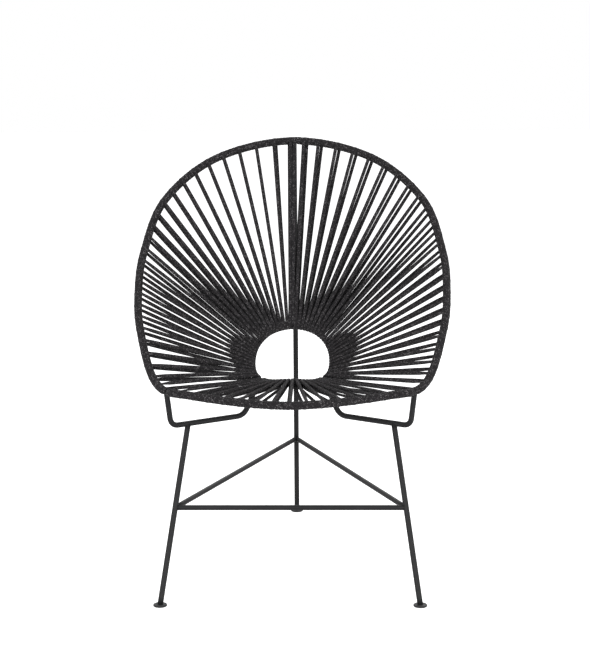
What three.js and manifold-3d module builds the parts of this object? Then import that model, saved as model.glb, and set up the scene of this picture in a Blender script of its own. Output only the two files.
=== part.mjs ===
// An acapulco chair: a wrapped steel hoop and a small seat ring, strung with one long
// cord between them, on two bracketed front legs and one tall back leg.
// Millimetres, +Z up, the sitter faces -Y, and +X is on the right when the chair is seen
// from the front. The origin is on the floor, at the middle of the footprint.

import * as THREE from 'three';
import { mergeVertices } from 'three/addons/utils/BufferGeometryUtils.js';
import Module from 'manifold-3d';

const wasm = await Module();
wasm.setup();

// Driving sizes of the bucket's outer hoop, on the centre of its rod
const hoopHalfWidth = 340;
const hoopFrontDepth = -319;
const hoopDepth = 619;
const hoopLowHeight = 409;
const hoopRiseHeight = 500;

// Driving sizes of the seat ring at the bottom of the bucket
const ringHalfWidth = 90;
const ringFrontDepth = -112;
const ringDepth = 200;
const ringLowHeight = 419;
const ringRiseHeight = 92;

// Steel rod
const frameRodRadius = 6;
const braceRodRadius = 5.5;
const seatGap = 0.3;

// Legs, feet and braces
const footprintHalfDepth = 350;
const frontFootHalfSpread = 270;
const braceHeight = 185;
const footRadius = 14.5;
const footThickness = 4;
const footEdge = 1;

// Brackets that carry the front of the hoop and of the ring on the front legs
const bracketOuterInset = 10;
const bracketOuterDrop = 76;
const bracketInnerInset = 40;
const bracketInnerDrop = 74;
const bracketBendRadius = 18;
const legTopInset = 41;

// Cord
const cordWidth = 7.2;
const cordCrowdedWidth = 6.2;
const cordThickness = 3.2;
const cordPressedThickness = 1.8;
const cordFullWidth = 8.6;
const cordFullThickness = 7;
const cordClearance = 0.5;
const hoopCordLag = 4;
const ringCordLag = 2;
const bracketLean = 2.5;
const wrapClearance = 0.4;
const wrapOuterRadius = 8.6;
const wrapEndGap = 5;
const spineCordSpacing = 10.5;
const spineCordOffset = -4;
const spineBackSpread = 23;
const leastCordGap = 0.4;

// Loops of the cord on each side of the back, as lengths along the hoop: the first one's
// from the top and the last one's from the bracket
const bankLoops = 25;
const seatLoops = 17;
const firstRightLoop = 22;
const firstLeftLoop = 48;
const lastRightLoopInset = 39;
const lastLeftLoopInset = 30;

// How much wider the loops stand at the top than at the side, and over how many loops of
// each side that eases off
const topPitchShare = 0.26;
const rightEasedLoops = 12;
const leftEasedLoops = 8;

// Where each bracket meets the hoop and the ring, as a share of the way round
const hoopBracketShare = 0.4;
const ringBracketShare = 0.375;

// How far a strand is from the hoop, on its way to the ring, where it has its full size
const fullCordShare = 0.12;

// Half outlines from the top round to the front: across, back and up, each as a share of
// the half width, of the depth and of the rise.
const hoopOutlineShares = [
  [0, 1, 1],
  [0.522, 0.954, 0.928],
  [0.868, 0.856, 0.748],
  [0.99, 0.703, 0.535],
  [1.005, 0.555, 0.382],
  [0.969, 0.413, 0.235],
  [0.844, 0.25, 0.046],
  [0.598, 0.09, 0.036],
  [0, 0, 0.02],
];
const ringOutlineShares = [
  [0, 1, 1],
  [0.54, 0.935, 0.902],
  [0.88, 0.763, 0.662],
  [1, 0.518, 0.369],
  [0.92, 0.26, 0.098],
  [0.583, 0.065, 0],
  [0, 0, 0.033],
];

// Flattened hexagon of the cord, as shares of its half width and half thickness
const cordSectionShares = [[1, 0], [0.6, 1], [-0.6, 1], [-1, 0], [-0.6, -1], [0.6, -1]];

// Facet counts
const hoopSteps = 96;
const ringSteps = 40;
const hoopSides = 8;
const rodSides = 16;
const bendSteps = 6;
const footSides = 32;
const wrapSteps = 3;
const cutterSteps = 2;
const cutterBlockSize = 120;

const halfTurn = Math.PI;
const fullTurn = 2 * halfTurn;
const quarterTurn = halfTurn / 2;

// Materials
const steelFinish = { color: 0x2b2b2d, roughness: 0.45, metalness: 0.7 };
const cordFinish = { color: 0x2c2a2b, roughness: 0.85, metalness: 0 };
const footFinish = { color: 0x1d1d1e, roughness: 0.6, metalness: 0 };

// Curves of the hoop and the ring

function mirroredLoop(outlineShares, halfWidth, frontDepth, depth, lowHeight, rise) {
  const half = outlineShares.map(([across, back, up]) =>
    new THREE.Vector3(across * halfWidth, frontDepth + back * depth, lowHeight + up * rise));
  const otherHalf = half.slice(1, -1).reverse().map((point) =>
    new THREE.Vector3(-point.x, point.y, point.z));
  return new THREE.CatmullRomCurve3([...half, ...otherHalf], true, 'catmullrom');
}

const hoopCurve = mirroredLoop(
  hoopOutlineShares, hoopHalfWidth, hoopFrontDepth, hoopDepth, hoopLowHeight, hoopRiseHeight);
const ringCurve = mirroredLoop(
  ringOutlineShares, ringHalfWidth, ringFrontDepth, ringDepth, ringLowHeight, ringRiseHeight);

// The rods are bent in short straight steps, and all that sits on them follows these steps.
function pointOnSteps(curve, steps, share) {
  const place = ((share % 1) + 1) % 1 * steps;
  const step = Math.floor(place);
  const from = curve.getPoint(step / steps);
  const to = curve.getPoint(((step + 1) % steps) / steps);
  return from.lerp(to, place - step);
}

const hoopPoint = (share) => pointOnSteps(hoopCurve, hoopSteps, share);
const ringPoint = (share) => pointOnSteps(ringCurve, ringSteps, share);

function tangentAt(pointAt, share, steps) {
  const reach = 1 / steps;
  return pointAt(share + reach).sub(pointAt(share - reach)).normalize();
}

// Frame on a rod: along it, out of the bucket's front face, and away from the other loop.
function frameAt(pointAt, otherPointAt, share, otherShare, steps, side) {
  const centre = pointAt(share);
  const along = tangentAt(pointAt, share, steps);
  const across = otherPointAt(otherShare).sub(centre).multiplyScalar(side);
  const front = across.cross(along).normalize();
  const outward = front.clone().cross(along).normalize();
  return { centre, along, front, outward };
}

const hoopFrame = (share, ringShare = share) =>
  frameAt(hoopPoint, ringPoint, share, ringShare, hoopSteps, 1);
const ringFrame = (share, hoopShare = share) =>
  frameAt(ringPoint, hoopPoint, share, hoopShare, ringSteps, -1);

// The share that a short length takes along a rod at one place
function shareOf(pointAt, steps, share, length) {
  const reach = 1 / steps;
  const span = pointAt(share + reach).distanceTo(pointAt(share - reach));
  return length / span * 2 * reach;
}

// Mesh builders

function geometryFrom(points, triangles) {
  const geometry = new THREE.BufferGeometry();
  geometry.setAttribute('position', new THREE.Float32BufferAttribute(
    points.flatMap((point) => [point.x, point.y, point.z]), 3));
  let volume = 0;
  for (const [a, b, c] of triangles) {
    volume += points[a].clone().cross(points[b]).dot(points[c]);
  }
  const outward = volume > 0 ? triangles : triangles.map(([a, b, c]) => [a, c, b]);
  geometry.setIndex(outward.flat());
  return geometry;
}

function quad(triangles, a, b, c, d) {
  triangles.push([a, b, c], [a, c, d]);
}

// Skin over a row of sections with as many points each, closed on itself or capped.
function skin(sections, closed) {
  const sides = sections[0].length;
  const points = sections.flat();
  const triangles = [];
  const spans = closed ? sections.length : sections.length - 1;
  for (let row = 0; row < spans; row += 1) {
    const next = (row + 1) % sections.length;
    for (let side = 0; side < sides; side += 1) {
      const beside = (side + 1) % sides;
      quad(triangles, row * sides + side, row * sides + beside,
        next * sides + beside, next * sides + side);
    }
  }
  if (!closed) {
    const last = (sections.length - 1) * sides;
    for (let side = 1; side < sides - 1; side += 1) {
      triangles.push([0, side + 1, side], [last, last + side, last + side + 1]);
    }
  }
  return geometryFrom(points, triangles);
}

function roundSection(frame, radius, sides) {
  const section = [];
  for (let side = 0; side < sides; side += 1) {
    const angle = side / sides * fullTurn;
    section.push(frame.centre.clone()
      .addScaledVector(frame.front, radius * Math.cos(angle))
      .addScaledVector(frame.outward, radius * Math.sin(angle)));
  }
  return section;
}

function loopRod(frameOf, steps, radius) {
  const sections = [];
  for (let step = 0; step < steps; step += 1) {
    sections.push(roundSection(frameOf(step / steps), radius, hoopSides));
  }
  return skin(sections, true);
}

// Shares from one end of a stretch to the other, with every bend of the rod in between.
function sharesBetween(start, end, steps) {
  const shares = [start];
  for (let step = Math.ceil(start * steps); step <= Math.floor(end * steps); step += 1) {
    const share = step / steps;
    if (share > start && share < end) shares.push(share);
  }
  shares.push(end);
  return shares;
}

function stretchOfRod(frameOf, start, end, steps, radius) {
  const sections = sharesBetween(start, end, steps)
    .map((share) => roundSection(frameOf(share), radius, hoopSides));
  return skin(sections, false);
}

// Sleeve of wound cord round the hoop: an outer and an inner wall, joined at both ends.
function sleeve(start, end, innerRadius, outerRadius) {
  const frames = sharesBetween(start, end, hoopSteps).map((share) => hoopFrame(share));
  const outer = frames.map((frame) => roundSection(frame, outerRadius, hoopSides));
  const inner = frames.map((frame) => roundSection(frame, innerRadius, hoopSides));
  const walls = [...outer, ...inner.reverse()];
  const rows = walls.length;
  const triangles = [];
  for (let row = 0; row < rows; row += 1) {
    const next = (row + 1) % rows;
    for (let side = 0; side < hoopSides; side += 1) {
      const beside = (side + 1) % hoopSides;
      quad(triangles, row * hoopSides + side, row * hoopSides + beside,
        next * hoopSides + beside, next * hoopSides + side);
    }
  }
  return geometryFrom(walls.flat(), triangles);
}

// Straight round rod between two points
function straightRod(from, to, radius) {
  const direction = to.clone().sub(from);
  const rod = new THREE.CylinderGeometry(radius, radius, direction.length(), rodSides);
  const turn = new THREE.Quaternion().setFromUnitVectors(
    new THREE.Vector3(0, 1, 0), direction.clone().normalize());
  const middle = from.clone().add(to).divideScalar(2);
  return rod.applyQuaternion(turn).translate(middle.x, middle.y, middle.z);
}

// Solid joins and cuts

function solidOf(geometry) {
  const plain = geometry.clone();
  plain.deleteAttribute('normal');
  plain.deleteAttribute('uv');
  const merged = mergeVertices(plain);
  return new wasm.Manifold(new wasm.Mesh({
    numProp: 3,
    vertProperties: merged.attributes.position.array,
    triVerts: new Uint32Array(merged.index.array),
  }));
}

// A rod that is welded to another stops this far short of the other's centre line, and is
// coped there to seat on it, with the seat gap between them.
const copeStop = frameRodRadius / 2;
const shortOf = (end, from) => end.clone().add(from.clone().sub(end).setLength(copeStop));

function coped(geometry, neighbours) {
  let solid = solidOf(geometry);
  for (const neighbour of neighbours) {
    solid = solid.subtract(solidOf(neighbour));
  }
  const mesh = solid.getMesh();
  const result = new THREE.BufferGeometry();
  result.setAttribute('position', new THREE.Float32BufferAttribute(mesh.vertProperties, 3));
  result.setIndex(Array.from(mesh.triVerts));
  return result;
}

// The chair, gathered as named meshes
const chair = new THREE.Group();

function add(name, geometry, finish) {
  geometry.computeVertexNormals();
  const mesh = new THREE.Mesh(geometry, new THREE.MeshStandardMaterial(finish));
  mesh.name = name;
  chair.add(mesh);
}

const sides = [
  { name: 'left', sign: -1, hoopShare: 1 - hoopBracketShare, ringShare: 1 - ringBracketShare },
  { name: 'right', sign: 1, hoopShare: hoopBracketShare, ringShare: ringBracketShare },
];

// Hoop rod and seat ring rod
add('hoop_rod', loopRod(hoopFrame, hoopSteps, frameRodRadius), steelFinish);
add('seat_ring_rod', loopRod(ringFrame, ringSteps, frameRodRadius), steelFinish);

const sleeveInnerRadius = frameRodRadius + wrapClearance;
const copeRadius = frameRodRadius + seatGap;

// Cutters: a stretch of loop rod near one share, and a plain block
function loopCutter(frameOf, share, steps, radius) {
  const reach = cutterSteps / steps;
  return stretchOfRod(frameOf, share - reach, share + reach, steps, radius);
}

function cutterBlock(x, y, z) {
  const block = new THREE.BoxGeometry(cutterBlockSize, cutterBlockSize, cutterBlockSize);
  return block.translate(x, y, z);
}

// Brackets: flat U-bent rods in the upright plane through the hoop's and the ring's corner
function bracketPlan(side) {
  const hoopEnd = hoopPoint(side.hoopShare);
  const ringEnd = ringPoint(side.ringShare);
  const inward = ringEnd.clone().sub(hoopEnd).setZ(0).normalize();
  const down = new THREE.Vector3(0, 0, -1);
  const outerBend = hoopEnd.clone()
    .addScaledVector(inward, bracketOuterInset).addScaledVector(down, bracketOuterDrop);
  const innerBend = ringEnd.clone()
    .addScaledVector(inward, -bracketInnerInset).addScaledVector(down, bracketInnerDrop);
  return { hoopEnd, outerBend, innerBend, ringEnd, planeNormal: inward.cross(down) };
}

// Arc that rounds the corner between three points, as points on a quadratic curve
function roundedCorner(before, corner, after, radius) {
  const start = before.clone().sub(corner).setLength(radius).add(corner);
  const end = after.clone().sub(corner).setLength(radius).add(corner);
  return new THREE.QuadraticBezierCurve3(start, corner, end).getPoints(bendSteps);
}

function bentRod(plan, radius) {
  const { hoopEnd, outerBend, innerBend, ringEnd, planeNormal } = plan;
  const path = [
    shortOf(hoopEnd, outerBend),
    ...roundedCorner(hoopEnd, outerBend, innerBend, bracketBendRadius),
    ...roundedCorner(outerBend, innerBend, ringEnd, bracketBendRadius),
    shortOf(ringEnd, innerBend),
  ];
  const sections = path.map((centre, index) => {
    const before = path[Math.max(index - 1, 0)];
    const after = path[Math.min(index + 1, path.length - 1)];
    const along = after.clone().sub(before).normalize();
    const outward = planeNormal.clone().cross(along).normalize();
    return roundSection({ centre, front: planeNormal, outward }, radius, rodSides);
  });
  return skin(sections, false);
}

for (const side of sides) {
  const plan = bracketPlan(side);
  side.plan = plan;
  add(`bracket_${side.name}`, coped(bentRod(plan, frameRodRadius), [
    loopCutter(hoopFrame, side.hoopShare, hoopSteps, copeRadius),
    loopCutter(ringFrame, side.ringShare, ringSteps, copeRadius),
  ]), steelFinish);
}

// Feet: flat glide discs with a broken edge
function footDisc() {
  const profile = [
    new THREE.Vector2(0, 0),
    new THREE.Vector2(footRadius - footEdge, 0),
    new THREE.Vector2(footRadius, footEdge),
    new THREE.Vector2(footRadius, footThickness - footEdge),
    new THREE.Vector2(footRadius - footEdge, footThickness),
    new THREE.Vector2(0, footThickness),
  ];
  const disc = new THREE.LatheGeometry(profile, footSides);
  disc.rotateX(quarterTurn);
  return mergeVertices(stripped(disc));
}

function stripped(geometry) {
  geometry.deleteAttribute('normal');
  geometry.deleteAttribute('uv');
  return geometry;
}

// Legs: each is coped onto what it carries, and cut level just over its foot.
function leg(foot, top, cutters) {
  const direction = top.clone().sub(foot).normalize();
  const below = foot.clone().addScaledVector(direction, -footRadius);
  const floorBlock = cutterBlock(foot.x, foot.y, footThickness + seatGap - cutterBlockSize / 2);
  return coped(straightRod(below, shortOf(top, foot), frameRodRadius), [floorBlock, ...cutters]);
}

for (const side of sides) {
  const { outerBend, innerBend } = side.plan;
  const run = innerBend.clone().sub(outerBend);
  side.foot = new THREE.Vector3(side.sign * frontFootHalfSpread, -footprintHalfDepth, 0);
  side.legTop = outerBend.clone().addScaledVector(run.normalize(), legTopInset);
  add(`front_leg_${side.name}`,
    leg(side.foot, side.legTop, [bentRod(side.plan, copeRadius)]), steelFinish);
  const disc = footDisc();
  disc.translate(side.foot.x, side.foot.y, 0);
  add(`foot_${side.name}`, disc, footFinish);
}

const backFoot = new THREE.Vector3(0, footprintHalfDepth, 0);
const hoopTop = hoopPoint(0);
add('back_leg', leg(backFoot, hoopTop, [loopCutter(hoopFrame, 0, hoopSteps, copeRadius)]),
  steelFinish);
const backDisc = footDisc();
backDisc.translate(backFoot.x, backFoot.y, 0);
add('foot_back', backDisc, footFinish);

// Braces: a crossbar between the front legs and two stretchers to the back leg, all level
function pointAtHeight(foot, top, height) {
  return foot.clone().lerp(top, (height - foot.z) / (top.z - foot.z));
}

const [leftJoint, rightJoint] = sides.map(
  (side) => pointAtHeight(side.foot, side.legTop, braceHeight));
const backJoint = pointAtHeight(backFoot, hoopTop, braceHeight);
const legCutters = sides.map((side) => straightRod(side.foot, side.legTop, copeRadius));
const backLegCutter = straightRod(backFoot, hoopTop, copeRadius);
add('front_crossbar', coped(
  straightRod(shortOf(leftJoint, rightJoint), shortOf(rightJoint, leftJoint), braceRodRadius),
  legCutters), steelFinish);
const crossbarCutter = straightRod(leftJoint, rightJoint, braceRodRadius + seatGap);

sides.forEach((side, index) => {
  const joint = index === 0 ? leftJoint : rightJoint;
  const otherSide = cutterBlock(
    -side.sign * (cutterBlockSize - seatGap) / 2, backJoint.y, backJoint.z);
  add(`stretcher_${side.name}`, coped(
    straightRod(shortOf(joint, backJoint), shortOf(backJoint, joint), braceRodRadius),
    [backLegCutter, crossbarCutter, legCutters[index], otherSide]), steelFinish);
});

// Cord wound close round the hoop, in three stretches between the welds
function weldShare(share) {
  return shareOf(hoopPoint, hoopSteps, share, frameRodRadius + wrapEndGap);
}

const topWeld = weldShare(0);
const bracketWeld = weldShare(hoopBracketShare);
const wraps = [
  { name: 'right', start: topWeld, end: hoopBracketShare - bracketWeld },
  { name: 'front', start: hoopBracketShare + bracketWeld, end: 1 - hoopBracketShare - bracketWeld },
  { name: 'left', start: 1 - hoopBracketShare + bracketWeld, end: 1 - topWeld },
];
for (const { name, start, end } of wraps) {
  add(`hoop_wrap_${name}`, sleeve(start, end, sleeveInnerRadius, wrapOuterRadius), cordFinish);
}

// Loops of the seat cord. Each goes from the ring to the hoop in front, over the hoop, and
// back behind, a little further round; then it turns under the ring to the next loop.
function evenly(start, end, count) {
  return Array.from({ length: count }, (_, index) =>
    start + (end - start) * index / (count - 1));
}

// Lengths of a bank's loops along the hoop, with the pitch eased from the top to the side
function easedLengths(first, last, easedLoops) {
  const pitches = Array.from({ length: bankLoops - 1 }, (_, index) =>
    1 + topPitchShare * Math.max(0, 1 - index / easedLoops));
  const total = pitches.reduce((sum, pitch) => sum + pitch, 0);
  const lengths = [first];
  for (const pitch of pitches) {
    lengths.push(lengths[lengths.length - 1] + (last - first) * pitch / total);
  }
  return lengths;
}

// Lengths of the hoop's straight steps from the top round to the front
const hoopStepLengths = Array.from({ length: hoopSteps / 2 }, (_, step) =>
  hoopPoint(step / hoopSteps).distanceTo(hoopPoint((step + 1) / hoopSteps)));
const hoopLengthTo = (steps) => hoopStepLengths.slice(0, Math.floor(steps))
  .reduce((sum, length) => sum + length, 0) + hoopStepLengths[Math.floor(steps)] * (steps % 1);
const hoopHalfLength = hoopStepLengths.reduce((sum, length) => sum + length, 0);
const bracketLength = hoopLengthTo(hoopBracketShare * hoopSteps);

// Share of the hoop at a length from the top, which runs to the left below zero, and past
// the front up the other side
function hoopShareAt(length) {
  if (length > hoopHalfLength) return 1 - hoopShareAt(2 * hoopHalfLength - length);
  let left = Math.abs(length);
  let step = 0;
  while (step + 1 < hoopStepLengths.length && left > hoopStepLengths[step]) {
    left -= hoopStepLengths[step];
    step += 1;
  }
  return Math.sign(length) * (step + left / hoopStepLengths[step]) / hoopSteps;
}

const ringWeldLength = frameRodRadius + cordCrowdedWidth / 2 + cordClearance;
const ringWeldShare = shareOf(ringPoint, ringSteps, ringBracketShare, ringWeldLength);
const ringLeanShare = shareOf(ringPoint, ringSteps, ringBracketShare, ringWeldLength + bracketLean);
const ringLagShare = (share) => shareOf(ringPoint, ringSteps, share, ringCordLag);

const backRingShares = evenly(ringWeldShare - ringBracketShare,
  ringBracketShare - ringWeldShare - ringLagShare(ringBracketShare), 2 * bankLoops + 2);
const seatRingShares = evenly(ringBracketShare + ringLeanShare,
  1 - ringBracketShare - ringLeanShare - ringLagShare(ringBracketShare), seatLoops);

function loopAt(hoopLength, ringShare, hoopBackLength = hoopLength + hoopCordLag) {
  return {
    hoop: hoopShareAt(hoopLength),
    hoopBack: hoopShareAt(hoopBackLength),
    ring: ringShare,
    ringBack: ringShare + ringLagShare(ringShare),
  };
}

const leftBank = easedLengths(firstLeftLoop, bracketLength - lastLeftLoopInset, leftEasedLoops)
  .reverse().map((length, index) => loopAt(-length, backRingShares[index]));
const rightBank = easedLengths(firstRightLoop, bracketLength - lastRightLoopInset, rightEasedLoops)
  .map((length, index) => loopAt(length, backRingShares[bankLoops + 2 + index]));
const seatInset = (hoopHalfLength - bracketLength) / seatLoops;
const seatBank = evenly(bracketLength + seatInset,
  2 * hoopHalfLength - bracketLength - seatInset - hoopCordLag, seatLoops)
  .map((length, index) => loopAt(length, seatRingShares[index]));
const [leftSpine, rightSpine] = [-1, 1].map((sign, index) => loopAt(
  spineCordOffset + sign * spineCordSpacing / 2,
  backRingShares[bankLoops + index],
  sign * spineBackSpread / 2));

// Sections of the cord round a rod, from one angle round it to another half a turn on
const endHalfThickness = cordThickness / 2;
const pressedHalfThickness = cordPressedThickness / 2;
const wrapBulge = 1 / Math.cos(halfTurn / wrapSteps / 2);
const atHoop = { radius: wrapOuterRadius, cordWidth };
const atRing = { radius: frameRodRadius, cordWidth: cordCrowdedWidth };

function turnRound(frameOf, fromShare, toShare, otherFrom, otherTo, rod, startAngle) {
  const reach = (rod.radius + cordClearance + pressedHalfThickness) * wrapBulge;
  const sections = [];
  for (let step = 0; step <= wrapSteps; step += 1) {
    const part = step / wrapSteps;
    const angle = startAngle + part * halfTurn;
    const frame = frameOf(
      fromShare + (toShare - fromShare) * part, otherFrom + (otherTo - otherFrom) * part);
    const radial = frame.front.clone().multiplyScalar(Math.cos(angle))
      .addScaledVector(frame.outward, Math.sin(angle));
    const atEnd = step === 0 || step === wrapSteps;
    sections.push({
      centre: frame.centre.clone().addScaledVector(radial, reach),
      across: frame.along.clone().multiplyScalar(rod.cordWidth / 2),
      through: radial.multiplyScalar(atEnd ? endHalfThickness : pressedHalfThickness),
    });
  }
  return sections;
}

// Section of a taut strand near the hoop, where it is free of the rods that press it flat
function fullSection(hoopEnd, ringEnd) {
  const between = (key) => hoopEnd[key].clone().lerp(ringEnd[key], fullCordShare);
  return {
    centre: between('centre'),
    across: between('across').setLength(cordFullWidth / 2),
    through: between('through').setLength(cordFullThickness / 2),
  };
}

function windingSections(loops) {
  const sections = [];
  loops.forEach((loop, index) => {
    if (index === 0) {
      sections.push(turnRound(ringFrame, loop.ring, loop.ring, loop.hoop, loop.hoop,
        atRing, halfTurn)[wrapSteps]);
    }
    const hoopTurn = turnRound(hoopFrame, loop.hoop, loop.hoopBack, loop.ring, loop.ringBack,
      atHoop, 0);
    const next = loops[index + 1];
    const ringTurn = turnRound(ringFrame, loop.ringBack, (next ?? loop).ring,
      loop.hoopBack, (next ?? loop).hoop, atRing, halfTurn);
    sections.push(fullSection(hoopTurn[0], sections[sections.length - 1]), ...hoopTurn,
      fullSection(hoopTurn[wrapSteps], ringTurn[0]),
      ...(next ? ringTurn : ringTurn.slice(0, 1)));
  });
  return sections;
}

const cordCorners = ({ centre, across, through }) => cordSectionShares.map(
  ([width, thickness]) => centre.clone()
    .addScaledVector(across, width).addScaledVector(through, thickness));

// Least distance between points on the cord's corners that lie more than one turn and at
// most one loop and a half apart along it
const strandSamples = 48;
const turnSamples = 3;
const comparedLoops = 1.5;

function leastGap(sections) {
  const corners = sections.map(cordCorners);
  const turnLength = fullTurn * wrapOuterRadius;
  const samples = [];
  let travelled = 0;
  for (let row = 0; row + 1 < sections.length; row += 1) {
    const length = sections[row].centre.distanceTo(sections[row + 1].centre);
    const count = length > turnLength ? strandSamples : turnSamples;
    for (let sample = 0; sample < count; sample += 1) {
      const part = sample / count;
      for (let side = 0; side < cordSectionShares.length; side += 1) {
        samples.push({
          point: corners[row][side].clone().lerp(corners[row + 1][side], part),
          place: travelled + length * part,
        });
      }
    }
    travelled += length;
  }
  const sectionsInLoop = 2 * (wrapSteps + 2);
  const loopLength = travelled / sections.length * sectionsInLoop;
  let least = Infinity;
  for (let first = 0; first < samples.length; first += 1) {
    for (let second = first + 1; second < samples.length; second += 1) {
      const apart = samples[second].place - samples[first].place;
      if (apart > loopLength * comparedLoops) break;
      if (apart < turnLength) continue;
      const gap = samples[first].point.distanceToSquared(samples[second].point);
      if (gap < least) least = gap;
    }
  }
  return Math.sqrt(least);
}

const upperLoops = Math.floor(bankLoops / 2);
const windings = {
  cord_back_right: [rightSpine, ...rightBank.slice(0, upperLoops)],
  cord_side_right: rightBank.slice(upperLoops),
  cord_seat: seatBank,
  cord_side_left: leftBank.slice(0, bankLoops - upperLoops),
  cord_back_left: [...leftBank.slice(bankLoops - upperLoops), leftSpine],
};
for (const [name, loops] of Object.entries(windings)) {
  const sections = windingSections(loops);
  const gap = leastGap(sections);
  console.log(`${name}: ${loops.length} loops, least gap ${gap.toFixed(2)} mm`);
  if (gap < leastCordGap) throw new Error(`${name} comes too near itself`);
  add(name, skin(sections.map(cordCorners), false), cordFinish);
}

export default chair;
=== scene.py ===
"""Acapulco chair: a bucket of taut braided cord between a wound steel hoop and a seat ring.

Metres, +Z up, the sitter faces -Y, and +X is on the right as seen from in front. The packed
chair is the fixed frame, and the pieces made here stand for its rods, windings and cords.
"""

import bpy
import numpy as np
from bpy.props import FloatProperty, FloatVectorProperty, IntProperty, PointerProperty
from mathutils import Matrix, Vector


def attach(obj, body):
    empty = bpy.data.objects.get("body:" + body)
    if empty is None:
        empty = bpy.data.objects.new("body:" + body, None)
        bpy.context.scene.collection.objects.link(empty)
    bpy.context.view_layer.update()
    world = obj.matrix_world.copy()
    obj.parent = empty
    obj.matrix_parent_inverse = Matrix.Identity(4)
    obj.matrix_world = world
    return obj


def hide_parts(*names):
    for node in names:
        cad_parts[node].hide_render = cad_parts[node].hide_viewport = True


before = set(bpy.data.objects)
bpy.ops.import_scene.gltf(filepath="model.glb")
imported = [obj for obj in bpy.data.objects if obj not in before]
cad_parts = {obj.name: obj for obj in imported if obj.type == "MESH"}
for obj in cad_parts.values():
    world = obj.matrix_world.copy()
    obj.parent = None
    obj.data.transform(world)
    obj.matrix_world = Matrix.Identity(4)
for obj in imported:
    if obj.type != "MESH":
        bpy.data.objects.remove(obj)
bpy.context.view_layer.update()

bl_info = {
    "name": "Acapulco Chair",
    "version": (1, 0, 0),
    "blender": (4, 5, 0),
    "location": "View3D > Sidebar > Chair",
    "description": "Builds the strung cord chair around its packed steel frame",
    "category": "Add Mesh",
}

FULL_TURN = 2 * np.pi
HALF_TURN = np.pi
QUARTER_TURN = np.pi / 2


# Sizes that a user would change

def length(name, description, default):
    return FloatProperty(name=name, description=description, default=default,
                         subtype="DISTANCE", unit="LENGTH", precision=4)


def share(name, description, default):
    return FloatProperty(name=name, description=description, default=default,
                         min=0, max=1, subtype="FACTOR", precision=4)


def number(name, description, default):
    return IntProperty(name=name, description=description, default=default, min=2)


def colour(name, description, default):
    return FloatVectorProperty(name=name, description=description, default=default,
                               subtype="COLOR", size=3, min=0, max=1)


def angle(name, description, degrees):
    return FloatProperty(name=name, description=description, default=np.radians(degrees),
                         subtype="ANGLE", unit="ROTATION")


class ChairLoopSizes(bpy.types.PropertyGroup):
    hoop_half_width: length("Hoop half width", "From the middle to the rod's centre", 0.340)
    hoop_front: length("Hoop front", "Place of the hoop's front, negative is forwards", -0.319)
    hoop_depth: length("Hoop depth", "From the hoop's front to its top", 0.619)
    hoop_low: length("Hoop low height", "Height that the hoop's rise starts from", 0.409)
    hoop_rise: length("Hoop rise", "From the low height to the top", 0.500)
    ring_half_width: length("Ring half width", "From the middle to the rod's centre", 0.090)
    ring_front: length("Ring front", "Place of the ring's front", -0.112)
    ring_depth: length("Ring depth", "From the ring's front to its back", 0.200)
    ring_low: length("Ring low height", "Height of the ring's front", 0.419)
    ring_rise: length("Ring rise", "From the ring's front to its back", 0.092)
    hoop_bracket: share("Bracket on the hoop", "Share of the way round to its weld", 0.4)
    ring_bracket: share("Bracket on the ring", "Share of the way round to its weld", 0.375)


class ChairSteelSizes(bpy.types.PropertyGroup):
    frame_radius: length("Frame rod radius", "Radius of the legs' and brackets' rod", 0.006)
    brace_radius: length("Brace rod radius", "Radius of the crossbar and stretchers", 0.0055)
    brace_height: length("Brace height", "Height of the level braces", 0.185)
    foot_half_depth: length("Foot half depth", "From the middle to the feet, along Y", 0.350)
    foot_half_spread: length("Front foot half spread", "From the middle to a front foot", 0.270)
    foot_thickness: length("Foot thickness", "Height of the discs under the legs", 0.004)
    outer_inset: length("Outer bend inset", "Bracket's outer bend, in from the hoop", 0.010)
    outer_drop: length("Outer bend drop", "Bracket's outer bend, under the hoop", 0.076)
    inner_inset: length("Inner bend inset", "Bracket's inner bend, out from the ring", 0.040)
    inner_drop: length("Inner bend drop", "Bracket's inner bend, under the ring", 0.074)
    bend_radius: length("Bend radius", "Run of a bracket's bend on each side of it", 0.018)
    leg_inset: length("Leg top inset", "From the outer bend to the leg's weld", 0.041)


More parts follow.
